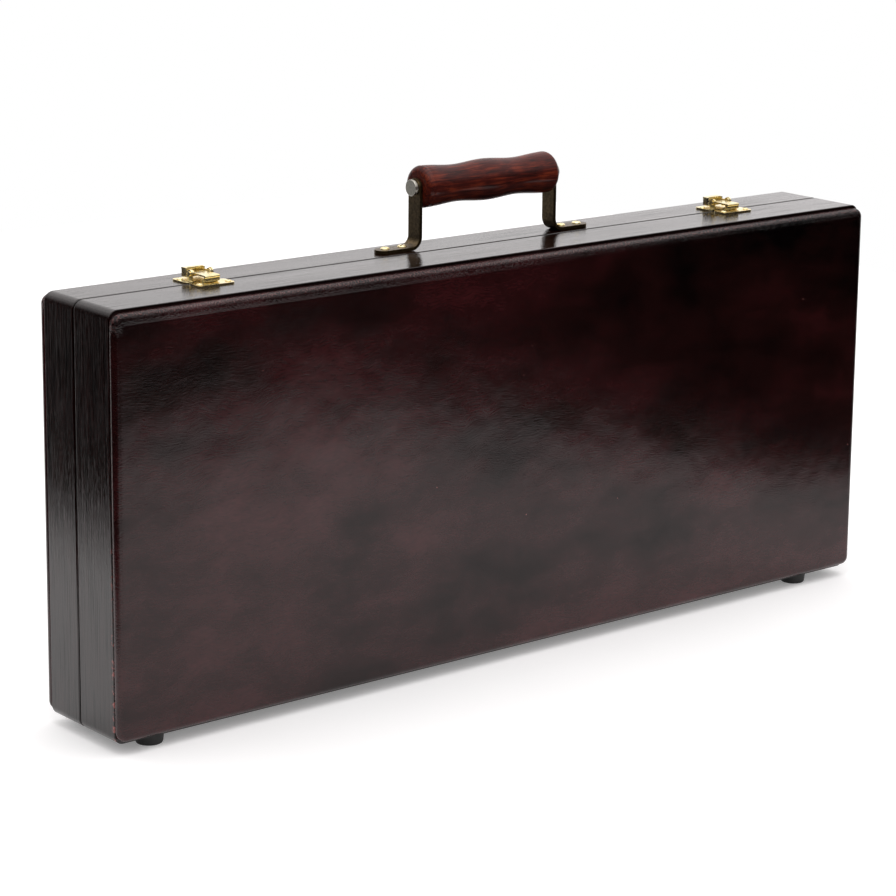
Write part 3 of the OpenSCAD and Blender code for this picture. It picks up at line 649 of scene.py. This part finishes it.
def scatter_tree():
    """Puts a copy of a part on each point, tilted its way and turned by chance."""
    tree = bpy.data.node_groups.new("part_on_points", "GeometryNodeTree")
    for name, kind in (("Points", "NodeSocketGeometry"), ("Part", "NodeSocketObject"),
                       ("Tilt", "NodeSocketRotation"), ("Largest turn", "NodeSocketFloat"),
                       ("Seed", "NodeSocketInt"), ("Finish", "NodeSocketMaterial")):
        tree.interface.new_socket(name, in_out="INPUT", socket_type=kind)
    tree.interface.new_socket("Mesh", in_out="OUTPUT", socket_type="NodeSocketGeometry")
    given = add(tree, "NodeGroupInput").outputs
    part = add(tree, "GeometryNodeObjectInfo", {"Object": given["Part"]})
    chance = add(tree, "FunctionNodeRandomValue", {"Max": given["Largest turn"], "Seed": given["Seed"]},
                 data_type="FLOAT")
    turn = add(tree, "FunctionNodeAxisAngleToRotation", {"Angle": chance.outputs["Value"]})
    facing = add(tree, "FunctionNodeRotateRotation",
                 {"Rotation": given["Tilt"], "Rotate By": turn.outputs[0]}, rotation_space="LOCAL")
    copies = add(tree, "GeometryNodeInstanceOnPoints",
                 {"Points": given["Points"], "Instance": part.outputs["Geometry"],
                  "Rotation": facing.outputs[0]})
    real = add(tree, "GeometryNodeRealizeInstances", {"Geometry": copies.outputs[0]})
    finished = add(tree, "GeometryNodeSetMaterial",
                   {"Geometry": real.outputs[0], "Material": given["Finish"]})
    add(tree, "NodeGroupOutput", {"Mesh": finished.outputs[0]})
    return tree


on_points = scatter_tree()


def loose_parts(node):
    """The lowest and highest corners of each separate solid of a CAD node."""
    shape = bmesh.new()
    shape.from_mesh(frame["nodes"][node].data)
    bmesh.ops.remove_doubles(shape, verts=shape.verts, dist=2e-6)
    left, boxes = set(shape.verts), []
    while left:
        stack, part = [left.pop()], []
        while stack:
            vertex = stack.pop()
            part.append(vertex.co.copy())
            for edge in vertex.link_edges:
                other = edge.other_vert(vertex)
                if other in left:
                    left.remove(other)
                    stack.append(other)
        corners = np.array(part)
        boxes.append((Vector(corners.min(0)), Vector(corners.max(0))))
    shape.free()
    return sorted(boxes, key=lambda pair: pair[0].x)


def repeat(node, name, part, seats, tilt, finish, seed, largest_turn=math.pi):
    """One piece with a copy of the part on every seat."""
    piece = new_piece(name, seats, [])
    grown = piece.modifiers.new("copies", "NODES")
    grown.node_group = on_points
    values = {"Part": part, "Tilt": tilt, "Largest turn": largest_turn, "Seed": seed, "Finish": finish}
    for item in on_points.interface.items_tree:
        if item.in_out == "INPUT" and item.name in values:
            grown[item.identifier] = values[item.name]
    mesh = bpy.data.meshes.new_from_object(
        piece.evaluated_get(bpy.context.evaluated_depsgraph_get()))
    piece.modifiers.clear()
    piece.data = mesh
    mesh.name = name
    fit(piece, node, finish)
    return piece


up, down = Euler((0, 0, 0)), Euler((math.pi, 0, 0))
toward_front, toward_back = Euler((math.pi / 2, 0, 0)), Euler((-math.pi / 2, 0, 0))
latch_screw = slotted_screw("latch_screw_part", latch_screw_d, latch_head_d, latch_head_h, 6 * MM, False)
strap_screw = slotted_screw("strap_screw_part", strap_screw_d, strap_head_d, strap_head_h, 9 * MM, False)
hinge_screw = slotted_screw("hinge_screw_part", hinge_screw_d, hinge_head_d, hinge_head_h, 7 * MM, True)
foot_screw = slotted_screw("foot_screw_part", foot_screw_d, foot_head_d, foot_head_h, 9 * MM, False)

for seed, (node, part, head_h, tilt, slot, finish) in enumerate((
        ("latch_base_screws", latch_screw, latch_head_h, up, "brass", brass),
        ("latch_strike_screws", latch_screw, latch_head_h, up, "brass", brass),
        ("handle_screws", strap_screw, strap_head_h, up, "brass", brass),
        ("hinge_base_screws", hinge_screw, hinge_head_h, toward_front, "brass", brass),
        ("hinge_lid_screws", hinge_screw, hinge_head_h, toward_back, "brass", brass),
        ("base_foot_screws", foot_screw, foot_head_h, down, "steel_screws", steel),
        ("lid_foot_screws", foot_screw, foot_head_h, down, "steel_screws", steel))):
    outward = tilt.to_matrix() @ Vector((0, 0, 1))
    seats = []
    for low, high in loose_parts(node):
        centre = (low + high) / 2
        reach = abs((high - low).dot(outward)) / 2
        seats.append(centre + outward * (reach - head_h))
    repeat(node, node + "_driven", part, seats, tilt, finish, seed + 11)


# ---- Hinges
# Two cast brass butt hinges are let into the seam faces of the bottom rails.
# Their leaves lie flush, and a brass pin runs through the five knuckles.

for side in ("left", "right"):
    for half in ("base", "lid"):
        node = f"hinge_{half}_leaf_{side}"
        leaf = cad_copy(node, node + "_brass")
        ease(leaf, 0.12 * MM, 2)
        fit(leaf, node, brass)
    pin = cad_copy("hinge_pin_" + side, f"hinge_pin_{side}_brass")
    ease(pin, 0.2 * MM, 2)
    fit(pin, "hinge_pin_" + side, brass)


# ---- Carrying handle
# A turned and varnished wooden grip rides on a nickel-plated bolt between two bent
# straps of antiqued bronze, which are screwed to the top of the back half.

# Antiqued bronze: brown-green patina, rubbed brighter where hands reach it.
bronze = metal("antiqued_bronze", "#463a28", "#66563d", 0.34, 0.44, 1.3 * MM, 0.45)
# Nickel plate, satin: warm grey with a soft sheen.
nickel = metal("satin_nickel", "#c9c6bb", "#e0ddd3", 0.32, 0.42, 1.2 * MM, 0.3)

for side in ("left", "right"):
    node = "handle_strap_" + side
    strap = cad_copy(node, node + "_bronze")
    ease(strap, 0.35 * MM, 3)
    fit(strap, node, bronze)
for node in ("handle_bolt", "handle_nut"):
    fastener = cad_copy(node, node + "_nickel")
    ease(fastener, 0.3 * MM, 3)
    fit(fastener, node, nickel)

# Varnished beech, stained red: growth lines along the grip, faint rings from the lathe.
grip_wood, tree = new_material("red_stained_beech")
place = add(tree, "ShaderNodeTexCoord").outputs["Object"]
fibre_place = add(tree, "ShaderNodeMapping", {"Vector": place, "Scale": (1 / (22 * MM), 1 / (1.4 * MM),
                                                                         1 / (1.4 * MM))})
fibre = add(tree, "ShaderNodeTexNoise", {"Vector": fibre_place.outputs[0], "Scale": 1.0,
                                         "Detail": 5.0, "Roughness": 0.6, "Distortion": 0.5})
patch = add(tree, "ShaderNodeTexNoise", {"Vector": place, "Scale": 1 / (11 * MM), "Detail": 3.0})
mixed = add(tree, "ShaderNodeMath", {0: patch.outputs["Fac"], 1: 0.5, 2: fibre.outputs["Fac"]},
            operation="MULTIPLY_ADD")
red = add(tree, "ShaderNodeValToRGB", {"Fac": mixed.outputs[0]},
          stops=[(0.55, "#240906"), (0.75, "#4c160e"), (0.98, "#7c3019")])
lathe_place = add(tree, "ShaderNodeMapping", {"Vector": place, "Scale": (1 / (0.8 * MM), 3, 3)})
lathe = add(tree, "ShaderNodeTexNoise", {"Vector": lathe_place.outputs[0], "Scale": 1.0, "Detail": 1.0})
rings_bump = add(tree, "ShaderNodeBump", {"Height": lathe.outputs["Fac"], "Strength": 0.3,
                                          "Distance": 0.06 * MM})
pores = add(tree, "ShaderNodeBump", {"Height": fibre.outputs["Fac"], "Strength": 0.4,
                                     "Distance": 0.08 * MM, "Normal": rings_bump.outputs[0]})
shader = add(tree, "ShaderNodeBsdfPrincipled", {
    "Base Color": red.outputs[0], "Roughness": 0.6, "Specular IOR Level": 0.1, "IOR": 1.5,
    "Normal": pores.outputs[0], "Coat Weight": 0.3, "Coat Roughness": 0.16, "Coat IOR": 1.5,
    "Coat Normal": pores.outputs[0]})
add(tree, "ShaderNodeOutputMaterial", {"Surface": shader.outputs[0]})

grip_low, grip_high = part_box("handle_grip")
grip_mid = (grip_low + grip_high) / 2
grip_half = (grip_high.x - grip_low.x) / 2
end_r = 11 * MM
waist_r = 9.7 * MM
swell_r = 10.9 * MM
bore_r = 2.55 * MM
round_r = 3.5 * MM
bead, bead_place, bead_width = 0.22 * MM, 0.985, 0.02
around, along_steps, end_steps = 96, 64, 10
profile = [(bore_r, -grip_half + 0.4 * MM), (bore_r + 0.4 * MM, -grip_half),
           (end_r - round_r, -grip_half)]
for i in range(1, end_steps):
    t = math.pi / 2 * i / end_steps
    profile.append((end_r - round_r * (1 - math.sin(t)), -grip_half + round_r * (1 - math.cos(t))))
run = grip_half - round_r
profile += [(end_r - 0.25 * MM, -run), (end_r - 0.3 * MM, -run + 0.25 * MM)]
for i in range(1, along_steps):
    t = -1 + 2 * i / along_steps
    radius = (swell_r + waist_r) / 2 + (swell_r - waist_r) / 2 * math.cos(2 * math.pi * t)
    edge = max(0.0, 1 - abs(abs(t) - bead_place) / bead_width)
    profile.append((radius + bead * edge, t * (run - 0.3 * MM)))
for i in range(end_steps, 0, -1):
    t = math.pi / 2 * i / end_steps
    profile.append((end_r - round_r * (1 - math.sin(t)), grip_half - round_r * (1 - math.cos(t))))
profile += [(end_r - round_r, grip_half), (bore_r + 0.4 * MM, grip_half),
            (bore_r, grip_half - 0.4 * MM)]
vertices, faces = [], []
for radius, along in profile:
    for k in range(around):
        angle = 2 * math.pi * k / around
        vertices.append((grip_mid.x + along, grip_mid.y + radius * math.cos(angle),
                         grip_mid.z + radius * math.sin(angle)))
for i in range(len(profile)):
    a, b = i * around, (i + 1) % len(profile) * around
    for k in range(around):
        n = (k + 1) % around
        faces.append((a + k, a + n, b + n, b + k))
grip = new_piece("handle_grip_wood", vertices, faces)
shape = bmesh.new()
shape.from_mesh(grip.data)
bmesh.ops.recalc_face_normals(shape, faces=shape.faces)
shape.to_mesh(grip.data)
shape.free()
fit(grip, "handle_grip", grip_wood)


# ---- Latches
# Two folded brass draw latches: a plate with two ears carries a lever on short
# rivets, and the lever pulls a claw over the rolled lip of the strike plate.

for side in ("left", "right"):
    for part, width in (("base", 0.25), ("rivets", 0.1), ("lever", 0.28), ("claw_pin", 0.15),
                        ("claw", 0.22), ("strike", 0.25)):
        node = f"latch_{part}_{side}"
        folded = cad_copy(node, node + "_brass")
        ease(folded, width * MM, 3)
        fit(folded, node, brass)


# ---- Feet
# Four turned rubber feet stand the case on its long edge. Each has a recess for
# its screw and a slightly domed sole.

rubber, tree = new_material("black_rubber")
# Moulded black rubber: dull, with a fine dusty bloom.
place = add(tree, "ShaderNodeTexCoord").outputs["Object"]
bloom = add(tree, "ShaderNodeTexNoise", {"Vector": place, "Scale": 1 / (2.2 * MM), "Detail": 4.0})
black = add(tree, "ShaderNodeValToRGB", {"Fac": bloom.outputs["Fac"]},
            stops=[(0.35, "#0c0c0c"), (0.7, "#1c1b1a")])
skin_bump = add(tree, "ShaderNodeBump", {"Height": bloom.outputs["Fac"], "Strength": 0.3,
                                         "Distance": 0.06 * MM})
shader = add(tree, "ShaderNodeBsdfPrincipled", {"Base Color": black.outputs[0], "Roughness": 0.62,
                                                "Normal": skin_bump.outputs[0]})
add(tree, "ShaderNodeOutputMaterial", {"Surface": shader.outputs[0]})

foot_h = case_low.z
foot_profile = [(1.5 * MM, 2.2 * MM), (3.3 * MM, 2.2 * MM), (3.3 * MM, 0.5 * MM), (3.8 * MM, 0.05 * MM),
                (5.6 * MM, 0.0), (6.4 * MM, 0.25 * MM), (6.75 * MM, 0.9 * MM), (7.3 * MM, foot_h - 0.5 * MM),
                (7.35 * MM, foot_h - 0.15 * MM), (7.1 * MM, foot_h), (1.5 * MM, foot_h)]
foot = turned("foot_part", foot_profile, 40)
for seed, half in enumerate(("base", "lid")):
    seats = [Vector(((low.x + high.x) / 2, (low.y + high.y) / 2, 0))
             for low, high in loose_parts(half + "_feet")]
    repeat(half + "_feet", half + "_feet_rubber", foot, seats, up, rubber, seed)

for part in (latch_screw, strap_screw, hinge_screw, foot_screw, foot):
    bpy.data.objects.remove(part)


# ---- Studio
# A white sweep of paper under a large soft box, one bright wall behind and
# dark room to the left and in front, which the lacquer mirrors.

wall_way = (0.646, 0.763, 0.0)
wall_strength, ceiling_strength, backdrop_strength = 1.22, 1.1, 1.0
paper_edge = [(-0.45, -0.54), (0.27, -0.54), (0.38, -0.20), (0.95, -0.07), (0.95, 1.2), (-0.45, 1.2)]
paper = new_piece("paper_floor", [(x, y, 0) for x, y in paper_edge], [tuple(range(6))])
# Matt white paper: no gloss, faint mottle.
white, tree = new_material("matt_white_paper")
place = add(tree, "ShaderNodeTexCoord").outputs["Object"]
mottled = add(tree, "ShaderNodeTexNoise", {"Vector": place, "Scale": 8.0})
tone = add(tree, "ShaderNodeValToRGB", {"Fac": mottled.outputs["Fac"]},
           stops=[(0.3, "#f4f4f4"), (0.7, "#f8f8f8")])
shader = add(tree, "ShaderNodeBsdfPrincipled", {
    "Base Color": tone.outputs[0], "Roughness": 0.9, "Specular IOR Level": 0.0,
    "Emission Color": (1, 1, 1, 1), "Emission Strength": 0.22})
add(tree, "ShaderNodeOutputMaterial", {"Surface": shader.outputs[0]})
paper.data.materials.append(white)

world = bpy.data.worlds.new("studio")
bpy.context.scene.world = world
world.use_nodes = True
tree = world.node_tree
tree.nodes.clear()
way = add(tree, "ShaderNodeTexCoord").outputs["Generated"]
wall_side = add(tree, "ShaderNodeVectorMath", {0: way, 1: wall_way}, operation="DOT_PRODUCT")
wall_light = add(tree, "ShaderNodeMapRange", {"Value": wall_side.outputs["Value"], "From Min": 0.30,
                                              "From Max": 0.62, "To Max": wall_strength},
                 interpolation_type="SMOOTHSTEP")
height = add(tree, "ShaderNodeSeparateXYZ", {"Vector": way})
ceiling = add(tree, "ShaderNodeMapRange", {"Value": height.outputs["Z"], "From Min": 0.15,
                                           "From Max": 0.65, "To Min": 0.0, "To Max": ceiling_strength},
              interpolation_type="SMOOTHSTEP")
room = add(tree, "ShaderNodeMath", {0: wall_light.outputs[0], 1: ceiling.outputs[0]}, operation="MAXIMUM")
seen = add(tree, "ShaderNodeLightPath")
lit = add(tree, "ShaderNodeBackground", {"Color": linear("#fffcfc"), "Strength": room.outputs[0]})
backdrop = add(tree, "ShaderNodeBackground", {"Color": (1, 1, 1, 1), "Strength": backdrop_strength})
both = add(tree, "ShaderNodeMixShader", {0: seen.outputs["Is Camera Ray"], 1: lit.outputs[0],
                                         2: backdrop.outputs[0]})
add(tree, "ShaderNodeOutputWorld", {"Surface": both.outputs[0]})


def soft_box(name, place, aim, size, power):
    """A square area light that points at aim."""
    lamp = bpy.data.lights.new(name, "AREA")
    lamp.size = size
    lamp.energy = power
    holder = bpy.data.objects.new(name, lamp)
    holder.location = place
    holder.rotation_euler = (Vector(aim) - Vector(place)).to_track_quat("-Z", "Y").to_euler()
    bpy.context.scene.collection.objects.link(holder)


soft_box("overhead_box", (-0.1, -0.25, 1.9), (0, 0, 0.1), 1.8, 12)

azimuth, elevation, roll = math.radians(-40.2), math.radians(13.1), math.radians(0.84)
distance = 1.6
target = Vector((12.4 * MM, 0, 142.6 * MM))
back = Vector((math.sin(azimuth) * math.cos(elevation), -math.cos(azimuth) * math.cos(elevation),
               math.sin(elevation)))
right = (-back).cross(Vector((0, 0, 1))).normalized()
top = right.cross(-back)
tilted_right = right * math.cos(roll) + top * math.sin(roll)
tilted_top = top * math.cos(roll) - right * math.sin(roll)
lens = bpy.data.cameras.new("camera")
lens.sensor_width = 36
lens.lens = 121.7
lens.shift_x = -0.0604
lens.shift_y = -0.0757
camera = bpy.data.objects.new("camera", lens)
camera.matrix_world = Matrix.Translation(target + back * distance) @ Matrix(
    (tilted_right, tilted_top, back)).transposed().to_4x4()
bpy.context.scene.collection.objects.link(camera)
bpy.context.scene.camera = camera
bpy.context.scene.view_settings.view_transform = "Standard"
